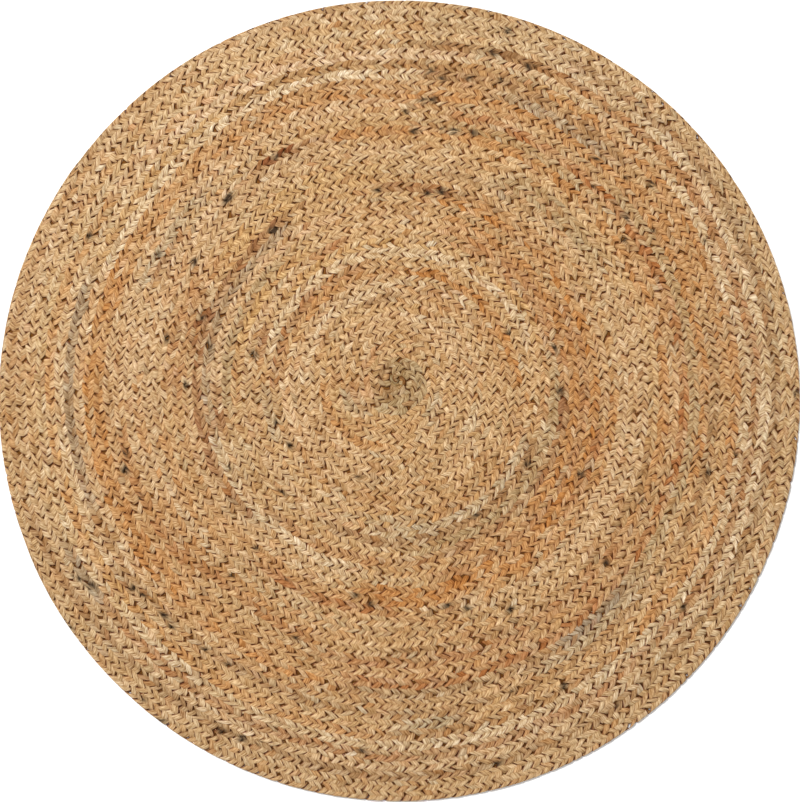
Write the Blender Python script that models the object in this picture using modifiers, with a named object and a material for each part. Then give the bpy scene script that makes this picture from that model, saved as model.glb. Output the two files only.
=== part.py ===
"""Round jute rug: two plaits coiled and sewn edge to edge into one flat mat with a rounded rim.

Metres, +Z up. The origin is the centre of the underside, and the rug lies flat on the floor.
"""
import math

import bmesh
import bpy

# Driving dimensions, in metres
RUG_DIAMETER = 1.200
PLAIT_THICKNESS = 0.009         # one flat three-strand plait, which is the whole rug's thickness
RIM_BULGE_WIDTH = 0.0055        # how far in the outermost row's rounded outer side reaches
UNDERSIDE_LIFT_WIDTH = 0.004    # how far in that row's underside leaves the floor

RIM_STEPS = 5                   # facets of each of the rim's two quarter curves
TURN_STEPS = 160                # facets around the rug

# Undyed jute yarn: golden straw, dry and dull
JUTE_COLOUR = (0.491, 0.287, 0.138, 1.0)
JUTE_ROUGHNESS = 0.9
AXIS_MERGE_DISTANCE = 0.0001


def clear_scene():
    """Remove whatever the open file holds, so that only the rug is left."""
    for old_object in list(bpy.data.objects):
        bpy.data.objects.remove(old_object, do_unlink=True)


def jute_material():
    """Dull straw-coloured jute."""
    jute = bpy.data.materials.new("jute")
    jute.use_nodes = True
    shader = jute.node_tree.nodes["Principled BSDF"]
    shader.inputs["Base Color"].default_value = JUTE_COLOUR
    shader.inputs["Roughness"].default_value = JUTE_ROUGHNESS
    shader.inputs["Metallic"].default_value = 0.0
    return jute


def quarter_curve(centre_x, centre_z, reach_x, reach_z, first_turn):
    """Points of a quarter ellipse that runs a quarter turn down from first_turn (radians)."""
    points = []
    for step in range(RIM_STEPS + 1):
        turn = first_turn - 0.5 * math.pi * step / RIM_STEPS
        points.append((centre_x + reach_x * math.cos(turn), centre_z + reach_z * math.sin(turn)))
    return points


def rug_profile():
    """Half of the rug's section: out along the top, down round the rim, back along the underside."""
    radius = 0.5 * RUG_DIAMETER
    half_thickness = 0.5 * PLAIT_THICKNESS
    upper = quarter_curve(radius - RIM_BULGE_WIDTH, half_thickness,
                          RIM_BULGE_WIDTH, half_thickness, 0.5 * math.pi)
    lower = quarter_curve(radius - UNDERSIDE_LIFT_WIDTH, half_thickness,
                          UNDERSIDE_LIFT_WIDTH, half_thickness, 0.0)
    return [(0.0, PLAIT_THICKNESS)] + upper + lower[1:] + [(0.0, 0.0)]


def turned_solid(name, profile, material):
    """Turn a profile of (radius, height) points once about the Z axis."""
    edges = bmesh.new()
    vertices = [edges.verts.new((x, 0.0, z)) for x, z in profile]
    for upper, lower in zip(vertices, vertices[1:]):
        edges.edges.new((upper, lower))
    mesh = bpy.data.meshes.new(name)
    edges.to_mesh(mesh)
    edges.free()
    mesh.materials.append(material)

    solid = bpy.data.objects.new(name, mesh)
    turn = solid.modifiers.new("turn", "SCREW")
    turn.axis = "Z"
    turn.angle = 2.0 * math.pi
    turn.steps = TURN_STEPS
    turn.render_steps = TURN_STEPS
    turn.use_merge_vertices = True
    turn.merge_threshold = AXIS_MERGE_DISTANCE
    turn.use_smooth_shade = True
    return solid


clear_scene()
rug_collection = bpy.data.collections.new("round_jute_rug")
bpy.context.scene.collection.children.link(rug_collection)
rug_collection.objects.link(turned_solid("coiled_plait_mat", rug_profile(), jute_material()))
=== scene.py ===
"""The looks of a round jute rug, built in one frame with its CAD solid. Metres, +Z up.

Two flat three-strand plaits of jute are wound side by side from the centre, like a double spiral.
"""
import math

import bpy
import numpy as np
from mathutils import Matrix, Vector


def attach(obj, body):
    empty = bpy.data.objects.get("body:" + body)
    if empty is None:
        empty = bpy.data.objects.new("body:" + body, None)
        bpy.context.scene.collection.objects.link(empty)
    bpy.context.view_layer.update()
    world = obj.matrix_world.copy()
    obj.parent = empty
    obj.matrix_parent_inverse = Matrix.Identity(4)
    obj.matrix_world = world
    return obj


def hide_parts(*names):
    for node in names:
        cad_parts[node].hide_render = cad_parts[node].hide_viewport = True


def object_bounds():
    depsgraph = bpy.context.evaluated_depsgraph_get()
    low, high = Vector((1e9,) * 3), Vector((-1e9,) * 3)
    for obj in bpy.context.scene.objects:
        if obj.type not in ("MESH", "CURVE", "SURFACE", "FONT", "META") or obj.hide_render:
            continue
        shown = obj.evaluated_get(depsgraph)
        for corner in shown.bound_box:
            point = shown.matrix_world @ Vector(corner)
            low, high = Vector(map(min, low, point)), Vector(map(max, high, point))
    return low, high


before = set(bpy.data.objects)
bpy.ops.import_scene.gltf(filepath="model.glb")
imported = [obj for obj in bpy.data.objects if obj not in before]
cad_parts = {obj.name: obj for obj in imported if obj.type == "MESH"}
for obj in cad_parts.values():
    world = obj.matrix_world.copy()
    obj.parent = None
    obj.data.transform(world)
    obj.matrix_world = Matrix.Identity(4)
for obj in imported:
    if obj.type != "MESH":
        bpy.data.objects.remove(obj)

cad_low, cad_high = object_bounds()

# ------------------------------------------------------------------------------------------------
# The lay of the coil. A maker starts both plaits at the centre and winds them together, sewing each
# row to the last with a hidden thread. The coil starts off centre and is pulled true at the rim, where
# both plaits taper off under the last row. Rows are counted outwards from the coil's centre.
# ------------------------------------------------------------------------------------------------
MM = 0.001
RUG_RADIUS = cad_high.x
ROW_WIDTH = 14.31 * MM            # of one plait, at the centre
ROW_WIDENING = 0.0093 * MM        # the rows get a little wider towards the rim
ROWS = {"a": 39.0, "b": 40.0}     # inner edge of each plait's first row, at turn 0 on the rug's right
FIRST_TURN = {"a": math.radians(-222.0), "b": math.radians(-162.0)}    # where each plait tapers off
TAPER_TURN = math.radians(12.0)
CENTRE_OVERRUN = {"a": math.radians(135.0), "b": math.radians(100.0)}   # the start, tucked into the middle

# How far the coil's centre lies from the rug's centre, for rows of each radius
DRIFT_RADIUS = np.array([0, 150, 300, 450, 600]) * MM
DRIFT_RIGHT = np.array([-2, -5, -6, -3, -1.5]) * MM
DRIFT_UP = np.array([31, 24, 17.5, 12, 10.5]) * MM

# Places where the rows bulge outwards or are pulled in: angle and spread in degrees, push in mm
PULLS = ((60, 12, 1.5), (90, 9, -5.0), (112, 10, 4.0), (151, 10, -6.0), (172, 9, 3.0),
         (233, 17, -9.0), (315, 14, -2.5))
PULLS_START, PULLS_FULL = 180 * MM, 420 * MM      # radii between which the pulls come in
RIM_REACH = 60 * MM                               # where the rows fall short of the rim, these spread

# The hand's unevenness from row to row: small waves that come in outside the centre
RIPPLE_WAVES = 9
RIPPLE_HEIGHT = 0.5333 * MM                       # of each wave
RIPPLE_START, RIPPLE_FULL = 30 * MM, 90 * MM      # radii between which the waves come in
coil_random = np.random.default_rng(11)
ripple_turns = coil_random.integers(3, 17, RIPPLE_WAVES)
ripple_rows = coil_random.uniform(-0.9, 0.9, RIPPLE_WAVES)
ripple_phases = coil_random.uniform(0.0, 2.0 * math.pi, RIPPLE_WAVES)


def smooth_step(value):
    """0 below 0, 1 above 1 and a soft curve between."""
    value = np.clip(value, 0.0, 1.0)
    return value * value * (3.0 - 2.0 * value)


def row_radius(row):
    """Distance of a row from the coil's own centre."""
    return ROW_WIDTH * row + ROW_WIDENING * row * np.abs(row)


def taper(plait, turn):
    """A plait's width as a share of its full width: it runs out under the rim."""
    return smooth_step((turn - FIRST_TURN[plait]) / TAPER_TURN)


def inner_row(plait, turn):
    """The row number of a plait's inner edge. Each full turn takes it two rows in."""
    return ROWS[plait] - turn / math.pi


def outermost_row(turn):
    """The row number of the rug's outer edge before it is pressed to a circle."""
    edges = []
    for plait, first in FIRST_TURN.items():
        outer_turn = np.mod(turn - first, 2.0 * math.pi) + first
        edges.append(inner_row(plait, outer_turn) + taper(plait, outer_turn))
    return np.maximum(*edges)


def loose_place(row, turn):
    """Where a point of the coil would lie if the rim weren't pressed to a circle."""
    radius = row_radius(row)
    pull = np.zeros_like(radius)
    for angle, spread, push in PULLS:
        off = np.degrees(np.angle(np.exp(1j * (turn - math.radians(angle)))))
        pull += push * MM * np.exp(-0.5 * (off / spread) ** 2)
    ripple = np.zeros_like(radius)
    for turns, rows, phase in zip(ripple_turns, ripple_rows, ripple_phases):
        ripple += RIPPLE_HEIGHT * np.sin(turns * turn + rows * row + phase)
    radius = radius + pull * smooth_step((radius - PULLS_START) / (PULLS_FULL - PULLS_START))
    radius = radius + ripple * smooth_step((radius - RIPPLE_START) / (RIPPLE_FULL - RIPPLE_START))
    size = np.abs(radius)
    right = np.interp(size, DRIFT_RADIUS, DRIFT_RIGHT) + radius * np.cos(turn)
    up = np.interp(size, DRIFT_RADIUS, DRIFT_UP) + radius * np.sin(turn)
    return right, up


def laid_place(row, turn):
    """Where a point of the finished coil lies: the last few rows spread where they fall short of the rim."""
    right, up = loose_place(row, turn)
    radius = np.hypot(right, up)
    edge = np.hypot(*loose_place(outermost_row(turn), turn))
    spread = np.clip((radius - edge) / RIM_REACH + 1.0, 0.0, None)
    stretched = radius + np.maximum(RUG_RADIUS - edge, 0.0) * spread * spread
    scale = stretched / np.maximum(radius, 1e-9)
    return right * scale, up * scale


# ------------------------------------------------------------------------------------------------
# The six strands, three to a plait. Each is a soft bundle of jute yarn that goes over from the plait's
# edge to its middle, dives under the next strand and comes up at the other edge. Seen from above, each
# pass over is a plump slanting lobe, and the lobes meet in a chevron.
# ------------------------------------------------------------------------------------------------
STRANDS = 3                       # in a plait
STRAND_PERIOD = 40.5 * MM         # along the plait, so one lobe every 13.5 mm on each side
PERIOD_AT_CENTRE = 0.93           # the inner rows are plaited a little tighter
LONG_WANDER = (0.08, 0.37)        # the hand pulls tighter and looser in two waves: the share of the
SHORT_WANDER = (0.06, 0.113)      # period, and the metres of plait to a radian of the wave
PLAIT_STEP = math.radians(0.5)    # of turn, in which the plait is followed
LEAST_STEP = 0.02 * MM            # so that it still gets longer where it turns on the spot at the centre
STRAND_INSET = 0.05               # of a period, between a plait's end and its strands' ends
STRAND_SWING = 8.6 * MM           # the strand's middle to each side of the plait's middle
FOLD_SHARPNESS = 0.97             # it crosses in nearly straight runs and folds back sharply at the edges
STRAND_RISE = 2.6 * MM            # the strand's middle above and below the plait's middle
RISE_FLATNESS = 2.5               # it stays up over most of a lobe
EARLY_RISE = 0.35                 # radians of phase: it is up before it reaches the plait's edge
LATE_DIVE = 0.25                  # and past the plait's middle before it dives
STRAND_SPAN = 0.99                # a strand's width, measured along the plait, as a share of a lobe's pitch
STRAND_HEIGHT = 5.8 * MM
SLOPE_STEP = 0.01                 # of half a period, over which a strand's slope is taken
MID_HEIGHT = 0.5 * cad_high.z
PLAIT_WIDTH = 14.7 * MM
EDGE_OVERLAP = 2.6 * MM           # how far a row's lobes reach in between its neighbours'
EDGE_PRESS = 1.1 * MM             # and are pressed straight within this width
RIM_LIP = 3.0 * MM                # at the rim, all that would stand out is pressed into this width
LIP_SQUEEZE = 0.35                # and loses up to this share of its height

# A strand's sections along one lobe: degrees of phase past the plait's edge, the section's span and height as
# shares of the full ones, and the painted light and shade on its top and the painted shade down in the
# crevices beside it, as shares of the yarn's brightness. The top is painted lightest mid-lobe and darker
# towards its ends and where it dives; the crevices are painted dark. The last section lies under the other
# strands.
HALF_PERIOD = 180.0               # degrees of phase, from one of the plait's edges to the other
SECTIONS = (
    (-16.0, 0.84, 0.92, 0.92, 0.40),
    (3.0, 0.94, 0.98, 0.98, 0.34),
    (20.0, 1.03, 1.00, 1.03, 0.32),
    (42.0, 1.06, 1.04, 1.07, 0.30),
    (66.0, 1.04, 1.02, 1.05, 0.30),
    (90.0, 0.97, 0.92, 0.95, 0.36),
    (128.0, 0.78, 0.80, 0.78, 0.38),
)
# A section's points: along the plait and up, as shares of half the span and height
AROUND = np.array([(-1.00, 0.00), (-0.66, 0.86), (0.66, 0.86), (1.00, 0.00), (0.70, -0.84), (-0.70, -0.84)])
# The points at a section's two sides, which get the painted crevice shade
IN_CREVICE = np.abs(AROUND[:, 0]) >= 1.0      # the points at a section's two sides

# How uneven the lobes are, as a middle value and a spread: of each one's swing, rise and width as shares
# of the full ones, and of its shift along the plait and its lean in strand periods
UNEVENNESS = {"swing": (1.0, 0.09), "rise": (1.0, 0.20), "width": (1.0, 0.12),
              "shift": (0.0, 0.036), "lean": (0.0, 0.045)}
LEAN_PIVOT = 45.0                 # degrees of phase past the plait's edge, about which a lobe leans


def plait_track(plait):
    """Samples along a plait: turn, length so far, and whole strand periods so far."""
    last_turn = math.pi * ROWS[plait] + CENTRE_OVERRUN[plait]
    turn = np.arange(FIRST_TURN[plait], last_turn, PLAIT_STEP)
    row = inner_row(plait, turn) + 0.5 * taper(plait, turn)
    right, up = laid_place(row, turn)
    steps = np.hypot(np.diff(right), np.diff(up)) + LEAST_STEP
    length = np.concatenate(([0.0], np.cumsum(steps)))
    tightness = PERIOD_AT_CENTRE + (1.0 - PERIOD_AT_CENTRE) * np.clip(row / max(ROWS.values()), 0.0, 1.0)
    long_wander = LONG_WANDER[0] * np.sin(length / LONG_WANDER[1] + row)
    wander = 1.0 + long_wander + SHORT_WANDER[0] * np.sin(length / SHORT_WANDER[1])
    period = STRAND_PERIOD * tightness * wander
    cycles = np.concatenate(([0.0], np.cumsum(steps / period[1:])))
    return turn, length, cycles


def strand_path(halves):
    """A strand's middle at each half period past the plait's edge: to the side and up, as shares."""
    phase = math.pi * halves
    side = np.arcsin(FOLD_SHARPNESS * np.cos(phase)) / math.asin(FOLD_SHARPNESS)
    shift = EARLY_RISE * np.cos(phase) ** 2 - LATE_DIVE * np.sin(phase) ** 2
    rise = np.tanh(RISE_FLATNESS * np.sin(2.0 * phase + shift))
    return side, rise / math.tanh(RISE_FLATNESS)


def press(distance, limit, width):
    """Distances that would pass a limit, pressed into the last width before it, and how hard (0 to 1)."""
    beyond = np.clip((distance - limit) / width + 1.0, 0.0, None)
    return np.where(beyond > 0.0, limit - width * np.exp(-beyond), distance), 1.0 - np.exp(-beyond)


def strand_rings(plait, strand, track, jitter):
    """One strand's ring points and the painted shade of each, and the length, turn and lobe of each ring."""
    turn, length, cycles = track
    lobes = int(2.0 * cycles[-1])
    lobe = np.repeat(np.arange(lobes), len(SECTIONS))
    sections = np.tile(np.array(SECTIONS), (lobes, 1))
    halves = lobe + sections[:, 0] / HALF_PERIOD
    ring_cycles = 0.5 * halves + 0.25 - strand / STRANDS
    keep = (ring_cycles > STRAND_INSET) & (ring_cycles < cycles[-1] - STRAND_INSET)
    lobe, halves, ring_cycles = lobe[keep], halves[keep], ring_cycles[keep]
    edge_phase, span_share, height_share, painted_top_shading, painted_crevice_shade = sections[keep].T
    lean = jitter["lean"][lobe] * (edge_phase / LEAN_PIVOT - 1.0)
    ring_cycles = ring_cycles + jitter["shift"][lobe] + lean
    along = np.interp(ring_cycles, cycles, length)

    side_share, rise_share = strand_path(halves)
    side = STRAND_SWING * jitter["swing"][lobe] * side_share
    height = STRAND_RISE * jitter["rise"][lobe] * rise_share
    side_before, rise_before = strand_path(halves - SLOPE_STEP)
    side_after, rise_after = strand_path(halves + SLOPE_STEP)
    slope = np.stack([STRAND_RISE * (rise_after - rise_before), STRAND_SWING * (side_before - side_after)])
    slope /= np.hypot(*slope)

    share_along, share_up = AROUND.T
    pitch = np.interp(ring_cycles, cycles, np.gradient(length, cycles)) / STRANDS
    half_span = 0.5 * STRAND_SPAN * pitch * span_share * jitter["width"][lobe]
    half_height = 0.5 * STRAND_HEIGHT * height_share
    point_along = along[:, None] + half_span[:, None] * share_along
    point_side = side[:, None] + (half_height * slope[0])[:, None] * share_up
    point_height = height[:, None] + (half_height * slope[1])[:, None] * share_up

    pressed_side, _ = press(np.abs(point_side), 0.5 * PLAIT_WIDTH + EDGE_OVERLAP, EDGE_PRESS)
    point_side = np.sign(point_side) * pressed_side

    point_turn = np.interp(point_along, length, turn)
    width = taper(plait, point_turn)
    row = inner_row(plait, point_turn) + width * (0.5 + point_side / PLAIT_WIDTH)
    right, up = laid_place(row, point_turn)
    radius = np.hypot(right, up)
    rim_radius, pressed = press(radius, RUG_RADIUS, RIM_LIP)
    point_height = point_height * (1.0 - LIP_SQUEEZE * pressed)
    point_z = np.maximum(MID_HEIGHT + point_height, 0.0)
    points = np.stack([right * rim_radius / radius, up * rim_radius / radius, point_z], axis=2)
    # Painted shade: dark down in the crevices at a section's sides, and on top a painted highlight mid-lobe
    # with painted shade towards the ends and where the strand dives
    painted_shades = np.where(IN_CREVICE, painted_crevice_shade[:, None], painted_top_shading[:, None])
    return points, painted_shades, along, np.interp(along, length, turn), lobe


def strand_mesh(name, points, colours, fibre_u):
    """A closed tube over the rings, with yarn colours that carry painted shade, and a map that runs along and
    around it.
    """
    rings, sides = points.shape[:2]
    first = np.arange(rings - 1)[:, None] * sides + np.arange(sides)[None, :]
    following = np.arange(rings - 1)[:, None] * sides + (np.arange(sides) + 1)[None, :] % sides
    quads = np.stack([first, following, following + sides, first + sides], axis=2).reshape(-1, 4)
    corners = np.concatenate([quads.ravel(), np.arange(sides)[::-1],
                              (rings - 1) * sides + np.arange(sides)])
    starts = np.concatenate([np.arange(len(quads)) * 4, [len(quads) * 4, len(quads) * 4 + sides]])
    mesh = bpy.data.meshes.new(name)
    mesh.vertices.add(rings * sides)
    mesh.vertices.foreach_set("co", points.astype(np.float32).ravel())
    mesh.loops.add(len(corners))
    mesh.loops.foreach_set("vertex_index", corners.astype(np.int32))
    mesh.polygons.add(len(starts))
    mesh.polygons.foreach_set("loop_start", starts.astype(np.int32))
    mesh.update(calc_edges=True)
    mesh.shade_smooth()

    share_along, share_up = AROUND.T
    steps = np.hypot(STRAND_PERIOD / STRANDS * np.diff(share_along, append=share_along[0]),
                     STRAND_HEIGHT * np.diff(share_up, append=share_up[0]))
    around = 0.5 * np.concatenate(([0.0], np.cumsum(steps)))
    u_map = np.stack([fibre_u[:-1], fibre_u[:-1], fibre_u[1:], fibre_u[1:]], axis=1)
    u_map = np.repeat(u_map[:, None, :], sides, axis=1)
    v_map = np.stack([around[:-1], around[1:], around[1:], around[:-1]], axis=1)
    v_map = np.repeat(v_map[None, :, :], rings - 1, axis=0)
    uv = np.stack([u_map, v_map], axis=3).reshape(-1, 2)
    uv = np.concatenate([uv, np.zeros((2 * sides, 2))])
    mesh.uv_layers.new(name="FibreRun").data.foreach_set("uv", uv.astype(np.float32).ravel())

    layer = mesh.color_attributes.new("yarn_tone_and_painted_shade", "FLOAT_COLOR", "POINT")
    rgba = np.concatenate([colours, np.ones((rings, sides, 1))], axis=2)
    layer.data.foreach_set("color", rgba.astype(np.float32).ravel())
    return mesh


def linear(hex_colour):
    """An sRGB hex colour as linear red, green and blue."""
    parts = [int(hex_colour[place:place + 2], 16) / 255.0 for place in (1, 3, 5)]
    return np.array([part / 12.92 if part <= 0.04045 else ((part + 0.055) / 1.055) ** 2.4 for part in parts])


# Undyed jute's own tones, and last that of the tarry stalks that stay in it
YARN = {
    "straw": "#B89467",
    "pale": "#BE9E76",
    "cream": "#C6AE89",
    "pinkish": "#C7A883",
    "golden": "#BA925A",
    "tan": "#AC8053",
    "orange": "#AB733D",
    "rust": "#985E32",
    "red_brown": "#7D4928",
    "brown": "#8A643F",
    "grey": "#A49476",
    "olive": "#9F8660",
    "mauve": "#927D63",
    "dark": "#3E3023",
}
YARN = {tone: linear(colour) for tone, colour in YARN.items()}
# A brightness, whether the yarn's own or painted light and shade, is laid over a tone with these powers for
# red, green and blue: jute that is darker is also redder, and the shade painted down in the crevices,
# standing for the reddened light there, is redder still
TONE_POWERS = np.array([1.0, 1.45, 2.20])
CREVICE_POWERS = np.array([1.0, 3.00, 6.00])
POINT_POWERS = np.where(IN_CREVICE[:, None], CREVICE_POWERS, TONE_POWERS)

# The yarn comes in lots of different tone, and a plait runs from one to the next. For each plait: where a
# lot starts and ends, in turns from the rim inwards, with 0 on the rug's right, its tone and how strongly
# it shows. Each row is laid over the rows before it.
LOTS = {
    "a": (
        (-0.70, 2.10, "grey", 0.25), (-0.70, 0.55, "straw", 0.3), (0.25, 1.45, "pale", 0.5),
        (0.92, 2.60, "cream", 0.45), (1.18, 1.62, "golden", 0.3), (2.22, 2.37, "pinkish", 0.8),
        (2.59, 2.62, "brown", 0.7), (2.60, 3.00, "straw", 0.6), (2.75, 2.78, "grey", 0.7),
        (3.00, 3.10, "orange", 0.5), (3.12, 3.24, "brown", 0.6), (3.24, 3.44, "cream", 0.7),
        (3.44, 3.60, "pale", 0.5), (3.60, 3.76, "tan", 0.5), (3.82, 3.90, "grey", 0.5),
        (3.95, 4.62, "orange", 0.6), (4.72, 5.22, "rust", 0.75), (5.27, 5.52, "pale", 0.5),
        (5.37, 5.44, "grey", 0.5), (5.52, 5.62, "rust", 0.5), (5.70, 5.92, "rust", 0.5),
        (5.92, 6.30, "orange", 0.6), (6.30, 6.34, "red_brown", 0.8), (6.35, 6.50, "pinkish", 0.4),
        (6.50, 6.72, "orange", 0.4), (6.88, 7.06, "pale", 0.6), (7.09, 7.17, "olive", 0.6),
        (7.25, 7.52, "pale", 0.4), (7.52, 7.62, "orange", 0.4), (7.80, 8.14, "pale", 0.5),
        (8.14, 8.23, "brown", 0.4), (8.25, 8.40, "golden", 0.4), (8.40, 8.50, "rust", 0.4),
        (8.50, 8.72, "tan", 0.5), (8.73, 8.90, "orange", 0.7), (8.90, 8.97, "rust", 0.7),
        (9.10, 9.20, "tan", 0.5), (9.20, 9.26, "red_brown", 0.6), (9.34, 9.62, "red_brown", 0.6),
        (9.78, 10.08, "rust", 0.5), (10.30, 10.50, "pinkish", 0.4), (10.50, 10.54, "red_brown", 0.6),
        (10.62, 10.76, "rust", 0.4), (10.76, 11.00, "red_brown", 0.6), (11.00, 11.20, "rust", 0.5),
        (11.34, 11.46, "golden", 0.4), (11.68, 11.94, "brown", 0.7), (12.05, 12.40, "golden", 0.4),
        (12.43, 12.47, "red_brown", 0.6), (12.75, 13.00, "orange", 0.3), (13.00, 13.20, "straw", 0.5),
        (13.28, 13.50, "rust", 0.6), (13.55, 13.92, "tan", 0.4), (14.00, 14.12, "orange", 0.4),
        (14.28, 14.90, "pale", 0.5), (15.14, 15.24, "orange", 0.4), (15.25, 15.31, "brown", 0.7),
        (15.45, 15.75, "pale", 0.4), (16.00, 16.50, "pale", 0.45), (16.84, 16.88, "brown", 0.5),
        (17.50, 17.58, "rust", 0.5), (17.58, 17.64, "grey", 0.5), (18.60, 20.00, "olive", 0.8),
        (18.50, 18.70, "brown", 0.4), (19.30, 19.60, "brown", 0.3),
    ),
    "b": (
        (-0.50, 2.10, "grey", 0.25), (-0.45, 0.25, "straw", 0.3), (0.28, 0.60, "orange", 0.3),
        (0.55, 1.18, "brown", 0.5), (1.24, 1.56, "straw", 0.7), (1.57, 1.60, "mauve", 0.7),
        (1.60, 2.19, "rust", 0.5), (2.18, 2.24, "brown", 0.8), (2.28, 2.40, "pinkish", 0.4),
        (2.40, 2.74, "orange", 0.4), (2.74, 2.86, "brown", 0.4), (2.86, 3.18, "orange", 0.6),
        (3.18, 3.33, "brown", 0.4), (3.44, 3.56, "mauve", 0.7), (3.56, 4.04, "brown", 0.5),
        (4.05, 4.13, "orange", 0.5), (4.13, 4.20, "mauve", 0.6), (4.20, 4.42, "tan", 0.5),
        (4.42, 4.72, "orange", 0.7), (4.72, 4.84, "brown", 0.5), (4.84, 4.89, "mauve", 0.9),
        (4.89, 5.12, "olive", 0.5), (5.25, 5.50, "pinkish", 0.3), (5.50, 6.10, "tan", 0.5),
        (6.12, 6.24, "olive", 0.4), (6.40, 6.43, "red_brown", 0.6), (6.46, 6.57, "pale", 0.6),
        (6.58, 6.70, "rust", 0.5), (6.74, 6.96, "brown", 0.5), (7.30, 7.62, "pale", 0.5),
        (7.88, 8.06, "pale", 0.4), (8.09, 8.18, "olive", 0.6), (8.40, 8.50, "rust", 0.4),
        (8.65, 8.75, "rust", 0.7), (8.77, 8.81, "brown", 0.6), (8.81, 9.00, "orange", 0.5),
        (9.25, 9.40, "golden", 0.4), (9.43, 9.47, "red_brown", 0.8), (9.51, 9.70, "pale", 0.5),
        (9.72, 10.23, "orange", 0.85), (10.34, 10.56, "mauve", 0.6), (10.54, 10.72, "cream", 0.6),
        (10.88, 11.20, "orange", 0.6), (11.37, 11.52, "olive", 0.6), (11.76, 12.02, "olive", 0.65),
        (12.04, 12.18, "rust", 0.5), (12.30, 12.34, "rust", 0.6), (12.34, 12.70, "pale", 0.5),
        (12.72, 12.94, "grey", 0.5), (13.05, 13.47, "cream", 0.6), (13.50, 13.57, "grey", 0.4),
        (13.65, 13.95, "tan", 0.2), (14.00, 14.24, "orange", 0.7), (14.28, 14.40, "orange", 0.5),
        (14.48, 14.72, "pale", 0.5), (15.09, 15.20, "rust", 0.3), (15.25, 15.50, "cream", 0.5),
        (15.56, 15.60, "brown", 0.6), (15.90, 15.96, "cream", 0.6), (16.00, 16.20, "pale", 0.5),
        (16.50, 16.74, "orange", 0.6), (17.00, 17.40, "pale", 0.4), (17.52, 17.60, "grey", 0.5),
        (17.86, 17.96, "grey", 0.5), (18.60, 20.00, "olive", 0.8), (18.30, 18.60, "rust", 0.4),
        (19.00, 19.12, "olive", 0.6), (19.30, 19.45, "brown", 0.5), (19.60, 19.76, "brown", 0.5),
    ),
}
LOT_FADE = 0.02                   # of a turn
# Within a lot, the strength varies from lobe to lobe: little in pale and grey yarn, more in red and brown
EVEN_TONES = ("pale", "cream", "grey", "mauve", "olive", "straw")
EVEN_MOTTLING, UNEVEN_MOTTLING = (0.75, 1.25), (0.2, 1.3)

# Besides, a strand drifts softly towards some tones: the tone, and over how many metres it comes and goes
DRIFTS = (("golden", 0.45), ("cream", 0.33), ("grey", 0.29), ("orange", 0.38), ("olive", 0.21))
DRIFT_SPREAD, DRIFT_LEVEL = 0.22, -0.05
# and single lobes stand out: the tone, and the share of lobes
ODD_LOBES = (("cream", 0.10), ("orange", 0.09), ("rust", 0.03), ("brown", 0.05), ("grey", 0.05))
ODD_STRENGTH = 0.32
# Brightness varies softly along a strand, over so many metres, and from lobe to lobe
STRAND_SHADING, SHADING_LENGTH, LOBE_SHADING = 0.04, 0.12, 0.055

# Dark stalks and tarry fibres spun in here and there, each one listed: degrees around and mm from the rug's
# centre, and its reach in mm. A fleck is fully dark within the core and gone past the edge, as shares of its
# reach.
FLECK_CORE, FLECK_EDGE = 0.72, 1.12
FLECKS = (
    (75, 538, 6), (152, 526, 5), (245, 557, 6), (285, 562, 5), (324, 526, 5), (351, 508, 5),
    (217, 480, 6), (300, 493, 6), (347, 475, 5), (327, 466, 5), (117, 410, 6), (130, 397, 6),
    (322, 393, 6), (146, 371, 6), (165, 361, 5), (96, 316, 5), (126, 316, 6), (157, 320, 6),
    (288, 326, 5), (338, 293, 6), (298, 353, 5), (81, 411, 5), (131, 396, 5), (127, 319, 5),
)
# More flecks, by where they were seen in the picture: pixels from its left and top, and the reach in mm
FLECKS_SEEN = (
    (126, 469, 7), (141, 496, 5), (276, 422, 5), (290, 445, 5), (230, 468, 5), (358, 478, 5),
    (282, 492, 4), (256, 548, 5), (92, 585, 7), (79, 577, 6), (133, 587, 6), (165, 614, 6), (173, 625, 5),
    (73, 626, 5), (206, 648, 4), (229, 663, 4), (287, 580, 4), (355, 595, 5), (371, 603, 5),
    (296, 636, 4), (221, 729, 6), (260, 742, 5), (362, 749, 5), (146, 698, 5), (162, 719, 4),
    (233, 575, 4), (508, 32, 5), (528, 68, 6), (431, 72, 5), (442, 81, 5), (468, 79, 5), (501, 81, 4),
    (433, 101, 6), (423, 102, 5), (406, 113, 5), (414, 131, 7), (474, 134, 6), (454, 132, 5),
    (442, 192, 6), (427, 194, 5), (608, 111, 4), (596, 160, 5), (650, 185, 6), (626, 179, 4),
    (593, 187, 4), (625, 217, 6), (623, 240, 5), (756, 235, 5), (652, 231, 4), (702, 242, 4),
    (508, 333, 4), (560, 392, 6), (554, 348, 4), (794, 392, 6), (187, 385, 5), (127, 452, 5),
    (210, 345, 5), (640, 500, 5), (447, 605, 5), (512, 690, 4), (617, 705, 5), (160, 255, 5),
    (255, 355, 6), (527, 463, 6), (475, 515, 5),
)
RUG_IN_PICTURE = 798.6            # the rug's width there, in pixels
PIXEL = 2 * RUG_RADIUS / RUG_IN_PICTURE
CENTRE_LEFT, CENTRE_DOWN = 399.4, 400.8

# All flecks as places right of and above the rug's centre, and reaches, in metres
fleck_places = []
for angle, distance, reach in FLECKS:
    turn = math.radians(angle)
    fleck_places.append((distance * MM * math.cos(turn), distance * MM * math.sin(turn), reach * MM))
for left, down, reach in FLECKS_SEEN:
    fleck_places.append(((left - CENTRE_LEFT) * PIXEL, (CENTRE_DOWN - down) * PIXEL, reach * MM))


def drift(random, along, spacing):
    """Soft random change along a strand, about 1 in size, with a new value every spacing metres."""
    knots = np.arange(0.0, along[-1] + 2.0 * spacing, spacing)
    return np.interp(along, knots, random.normal(0.0, 1.0, len(knots)))


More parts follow.
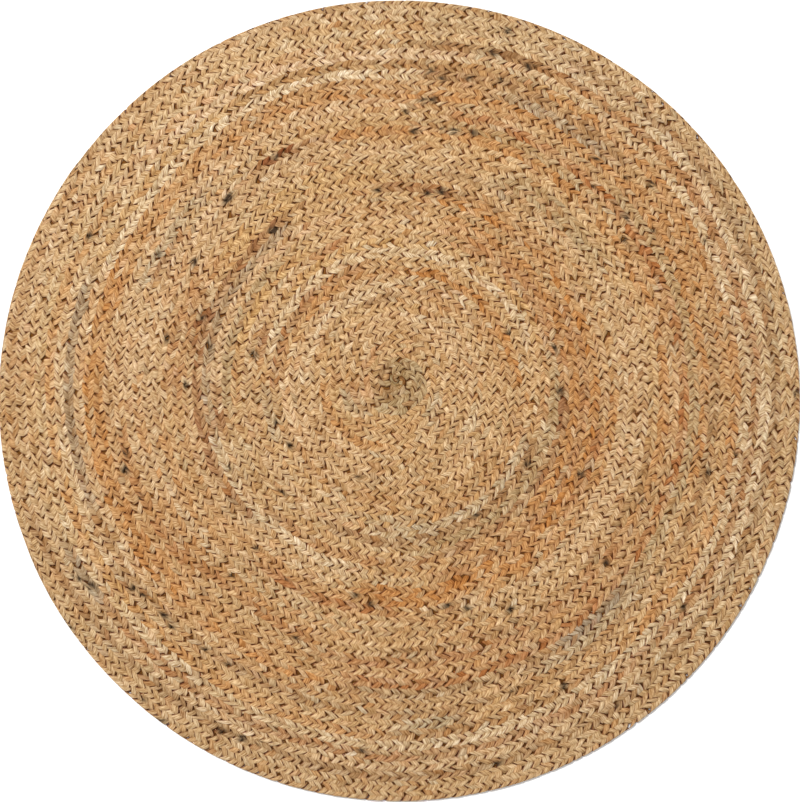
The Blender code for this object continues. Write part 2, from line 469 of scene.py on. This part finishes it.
def blend(colours, tone, share):
    """Colours mixed with a tone of yarn by a share each."""
    share = np.clip(share, 0.0, 1.0)[:, None]
    return colours * (1.0 - share) + YARN[tone] * share


def strand_colours(random, plait, along, turn, lobe):
    """The yarn's colour at each ring."""
    lobes = lobe.max() + 1
    colours = np.tile(YARN["straw"], (len(along), 1))
    for tone, spacing in DRIFTS:
        colours = blend(colours, tone, DRIFT_SPREAD * drift(random, along, spacing) + DRIFT_LEVEL)
    turns = turn / (2.0 * math.pi)
    for start, end, tone, strength in LOTS[plait]:
        share = smooth_step((turns - start) / LOT_FADE + 0.5) * smooth_step((end - turns) / LOT_FADE + 0.5)
        mottling = random.uniform(*(EVEN_MOTTLING if tone in EVEN_TONES else UNEVEN_MOTTLING), lobes)
        colours = blend(colours, tone, share * strength * mottling[lobe])
    for tone, odd_share in ODD_LOBES:
        odd = random.uniform(0.0, 1.0, lobes) < odd_share
        colours = blend(colours, tone, ODD_STRENGTH * odd[lobe])
    shading = STRAND_SHADING * drift(random, along, SHADING_LENGTH)
    shading += random.normal(0.0, LOBE_SHADING, lobes)[lobe]
    return colours * np.exp(shading)[:, None] ** TONE_POWERS


def flecked(colours, points):
    """Point colours with the dark stalks and fibres laid over them."""
    for right, up, reach in fleck_places:
        miss = np.hypot(points[:, :, 0] - right, points[:, :, 1] - up) / reach
        share = np.clip((FLECK_EDGE - miss) / (FLECK_EDGE - FLECK_CORE), 0.0, 1.0)[:, :, None]
        colours = colours * (1.0 - share) + YARN["dark"] * share
    return colours


def node(tree, kind, inputs=None, **settings):
    """Add a node to a material, with its settings, and its inputs as values or as other nodes' outputs."""
    made = tree.nodes.new(kind)
    for setting, value in settings.items():
        setattr(made, setting, value)
    for socket, value in (inputs or {}).items():
        if isinstance(value, bpy.types.NodeSocket):
            tree.links.new(value, made.inputs[socket])
        else:
            made.inputs[socket].default_value = value
    return made


# Undyed jute yarn: coarse, dry bast fibre, spun loosely and pressed flat. The eye gets faint streaks, a
# little lighter and darker, and hardly any gloss. Single fibres are under 0.1 mm, so the streaks are drawn
# as coarse as they show.
FIBRE_WIDTH, FIBRE_LENGTH = 1.9 * MM, 6.0 * MM     # around the strand, and along the plait
FIBRE_RELIEF = 0.2 * MM
FIBRE_SPREAD = (0.36, 0.64)                        # noise values of the darkest and the lightest fibres
DARK_FIBRE = (0.52, 0.40, 0.27, 1.0)               # multiplied with the yarn's colour
LIGHT_FIBRE = (1.26, 1.33, 1.43, 1.0)


def jute_material():
    """Matt jute: the strand's colour, with its painted shade, and fibre streaks over it, which also make a
    fine relief.
    """
    jute = bpy.data.materials.new("undyed_jute_yarn")
    jute.use_nodes = True
    tree = jute.node_tree
    shader = tree.nodes["Principled BSDF"]
    run = node(tree, "ShaderNodeUVMap", uv_map="FibreRun").outputs["UV"]
    # Inputs that share a name are given by number: a vector's 0 and 1, and a mix's colours 6 and 7
    place = node(tree, "ShaderNodeVectorMath", {0: run, 1: (1.0 / FIBRE_LENGTH, 1.0 / FIBRE_WIDTH, 1.0)},
                 operation="MULTIPLY").outputs["Vector"]
    fibre = node(tree, "ShaderNodeTexNoise", {"Vector": place, "Scale": 1.0, "Detail": 3.0,
                                              "Roughness": 0.6}).outputs["Fac"]
    colour = node(tree, "ShaderNodeAttribute", attribute_name="yarn_tone_and_painted_shade").outputs["Color"]
    tint = node(tree, "ShaderNodeValToRGB", {"Fac": fibre})
    for stop, position, fibre_tint in zip(tint.color_ramp.elements, FIBRE_SPREAD, (DARK_FIBRE, LIGHT_FIBRE)):
        stop.position = position
        stop.color = fibre_tint
    colour = node(tree, "ShaderNodeMix", {"Factor": 1.0, 6: colour, 7: tint.outputs["Color"]},
                  data_type="RGBA", blend_type="MULTIPLY", clamp_result=False).outputs[2]
    tree.links.new(colour, shader.inputs["Base Color"])
    relief = node(tree, "ShaderNodeBump", {"Height": fibre, "Strength": 1.0, "Distance": FIBRE_RELIEF})
    tree.links.new(relief.outputs["Normal"], shader.inputs["Normal"])
    shader.inputs["Roughness"].default_value = 0.9
    shader.inputs["IOR"].default_value = 1.45
    shader.inputs["Specular IOR Level"].default_value = 0.04
    return jute


jute = jute_material()
for plait in ROWS:
    track = plait_track(plait)
    for strand in range(STRANDS):
        random = np.random.default_rng(100 * strand + ord(plait))
        lobes = int(2.0 * track[2][-1])
        jitter = {kind: random.normal(middle, spread, lobes) for kind, (middle, spread) in UNEVENNESS.items()}
        points, painted_shades, along, turn, lobe = strand_rings(plait, strand, track, jitter)
        colours = strand_colours(random, plait, along, turn, lobe)
        # The painted light and shade of each point go over the yarn's colour, and the dark stalks over both
        colours = flecked(colours[:, None, :] * painted_shades[:, :, None] ** POINT_POWERS, points)
        name = f"plait_{plait}_strand_{strand + 1}"
        mesh = strand_mesh(name, points, colours, along)
        mesh.materials.append(jute)
        piece = bpy.data.objects.new(name, mesh)
        bpy.context.scene.collection.objects.link(piece)
        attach(piece, "root")

# ------------------------------------------------------------------------------------------------
# The start of the coil: the strands' own ends, curled in and tucked under each other in the middle. They are
# the same jute yarn, a little darker, with painted shade down their sides, and thin out towards the middle.
# ------------------------------------------------------------------------------------------------
END_WIDTH, END_HEIGHT = 5.4 * MM, 4.0 * MM
END_TAPER = 0.35                  # share of its width that an end loses
END_ARCH = 0.9 * MM               # its middle lies this much higher than where it is tucked under
END_RINGS = 9
# An end's top, a little darker than the yarn, and the painted shade down its sides, as shares of the yarn's
# brightness
END_TOP_SHADE, END_PAINTED_CREVICE_SHADE = 0.80, 0.35
END_WEAR = (0.75, 1.1)            # shares of these shades, as each ring is more or less worn
# Each end: angle in degrees at which it comes in and how far it curls round, how far out it starts and
# stops in mm, the height of its middle in mm, and its yarn
TUCKED_ENDS = (
    (20, 130, 12.0, 3.0, 7.1, "olive"),
    (80, 150, 11.0, 2.0, 7.4, "brown"),
    (140, 120, 12.5, 4.0, 7.0, "grey"),
    (200, 140, 11.5, 2.5, 7.3, "olive"),
    (260, 130, 12.0, 3.0, 6.9, "straw"),
    (320, 110, 11.0, 4.5, 7.2, "brown"),
)
for number, (angle, curl, start, stop, middle_height, tone) in enumerate(TUCKED_ENDS, start=1):
    random = np.random.default_rng(number)
    share = np.linspace(0.0, 1.0, END_RINGS)
    turn = np.radians(angle + curl * share)
    reach = (start + (stop - start) * share) * MM
    middle_x = DRIFT_RIGHT[0] + reach * np.cos(turn)
    middle_y = DRIFT_UP[0] + reach * np.sin(turn)
    middle_z = middle_height * MM + END_ARCH * np.sin(math.pi * share)
    run_x, run_y = np.gradient(middle_x), np.gradient(middle_y)
    run_length = np.hypot(run_x, run_y)
    half_width = 0.5 * END_WIDTH * (1.0 - END_TAPER * share)
    share_across, share_up = AROUND.T
    across = half_width[:, None] * share_across
    points = np.stack([middle_x[:, None] - (run_y / run_length)[:, None] * across,
                       middle_y[:, None] + (run_x / run_length)[:, None] * across,
                       middle_z[:, None] + 0.5 * END_HEIGHT * share_up * np.ones_like(across)], axis=2)
    wear = random.uniform(*END_WEAR, END_RINGS)[:, None]
    # Painted shade down the crevices at an end's sides, and its top a little darker
    painted_shades = np.where(IN_CREVICE, END_PAINTED_CREVICE_SHADE, END_TOP_SHADE) * wear
    colours = YARN[tone] * painted_shades[:, :, None] ** POINT_POWERS
    mesh = strand_mesh(f"tucked_end_{number}", points, colours, np.cumsum(run_length))
    mesh.materials.append(jute)
    piece = bpy.data.objects.new(mesh.name, mesh)
    bpy.context.scene.collection.objects.link(piece)
    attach(piece, "root")

# ------------------------------------------------------------------------------------------------
# The middle of the mat: the inside of the plaits, where the strands are crushed together and sewn.
# It is a thin disc, turned from its profile, coloured with the deep shade between the lobes painted on, so it
# shows only as dark specks there. It stands for the whole mat: a sheet that lies flat, and takes the CAD
# solid's place.
# ------------------------------------------------------------------------------------------------
MIDDLE_INSET = 6 * MM             # from the rim
MIDDLE_RADIUS = RUG_RADIUS - MIDDLE_INSET
MIDDLE_LOW, MIDDLE_HIGH = 3.0 * MM, 5.0 * MM
MIDDLE_SIDES = 160
AXIS_MERGE = 0.01 * MM

middle_profile = [(0.0, MIDDLE_HIGH), (MIDDLE_RADIUS, MIDDLE_HIGH),
                  (MIDDLE_RADIUS, MIDDLE_LOW), (0.0, MIDDLE_LOW)]
middle_mesh = bpy.data.meshes.new("packed_middle")
middle_mesh.from_pydata([(x, 0.0, z) for x, z in middle_profile], [(0, 1), (1, 2), (2, 3)], [])
middle = bpy.data.objects.new("packed_middle", middle_mesh)
bpy.context.scene.collection.objects.link(middle)
turned = middle.modifiers.new("turned", "SCREW")
turned.steps = turned.render_steps = MIDDLE_SIDES
turned.use_merge_vertices = True
turned.merge_threshold = AXIS_MERGE

# The same jute yarn, with the deep shade it lies in painted on: a flat warm brown with no gloss and no fibres
shadow_jute = bpy.data.materials.new("shaded_jute")
shadow_jute.use_nodes = True
shadow_shader = shadow_jute.node_tree.nodes["Principled BSDF"]
shadow_shader.inputs["Base Color"].default_value = (*linear("#744A20"), 1.0)
shadow_shader.inputs["Roughness"].default_value = 0.9
shadow_shader.inputs["Specular IOR Level"].default_value = 0.04
middle_mesh.materials.append(shadow_jute)
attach(middle, "root")
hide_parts("coiled_plait_mat")

# ------------------------------------------------------------------------------------------------
# The floor that the rug is shown on: one plain flat sheet, painted, a hair below the rug so that the two
# don't touch in the same plane.
# ------------------------------------------------------------------------------------------------
FLOOR_SIZE = 8.0
FLOOR_DROP = 0.05 * MM
bpy.ops.mesh.primitive_plane_add(size=FLOOR_SIZE, location=(0.0, 0.0, -FLOOR_DROP))
floor = bpy.context.object
floor.name = "floor"

# White emulsion paint, rolled on: evenly pale and matt
floor_paint = bpy.data.materials.new("white_floor")
floor_paint.use_nodes = True
floor_shader = floor_paint.node_tree.nodes["Principled BSDF"]
floor_shader.inputs["Base Color"].default_value = (*linear("#F6F6F6"), 1.0)
floor_shader.inputs["Roughness"].default_value = 0.9
floor.data.materials.append(floor_paint)

# ------------------------------------------------------------------------------------------------
# Studio light: even white light from all round, with one large softbox up at the back left that gives
# the lobes their light and dark sides. The camera looks straight down and just takes in the whole rug.
# ------------------------------------------------------------------------------------------------
ROOM_LIGHT = 0.68
SOFTBOX_SIZE, SOFTBOX_POWER = 1.0, 300.0
SOFTBOX_PLACE = (-1.5, 1.8, 5.2)
CAMERA_HEIGHT = 3.0
PICTURE_WIDTH = 800.0             # in pixels
CAMERA_RIGHT, CAMERA_UP = 0.6 * PIXEL, -0.2 * PIXEL      # the rug isn't quite in the picture's middle
SENSOR_WIDTH = 36.0

world = bpy.data.worlds.new("studio")
bpy.context.scene.world = world
world.use_nodes = True
world.node_tree.nodes["Background"].inputs["Color"].default_value = (1.0, 1.0, 1.0, 1.0)
world.node_tree.nodes["Background"].inputs["Strength"].default_value = ROOM_LIGHT

softbox_data = bpy.data.lights.new("softbox", "AREA")
softbox_data.shape = "SQUARE"
softbox_data.size = SOFTBOX_SIZE
softbox_data.energy = SOFTBOX_POWER
softbox = bpy.data.objects.new("softbox", softbox_data)
softbox.location = SOFTBOX_PLACE
softbox.rotation_euler = (-softbox.location).to_track_quat("-Z", "Y").to_euler()
bpy.context.scene.collection.objects.link(softbox)

camera_data = bpy.data.cameras.new("camera")
camera_data.sensor_width = SENSOR_WIDTH
camera_data.lens = SENSOR_WIDTH * CAMERA_HEIGHT / (PICTURE_WIDTH * PIXEL)
camera = bpy.data.objects.new("camera", camera_data)
camera.location = (CAMERA_RIGHT, CAMERA_UP, CAMERA_HEIGHT + MID_HEIGHT)
bpy.context.scene.collection.objects.link(camera)
bpy.context.scene.camera = camera
bpy.context.scene.view_settings.view_transform = "Standard"
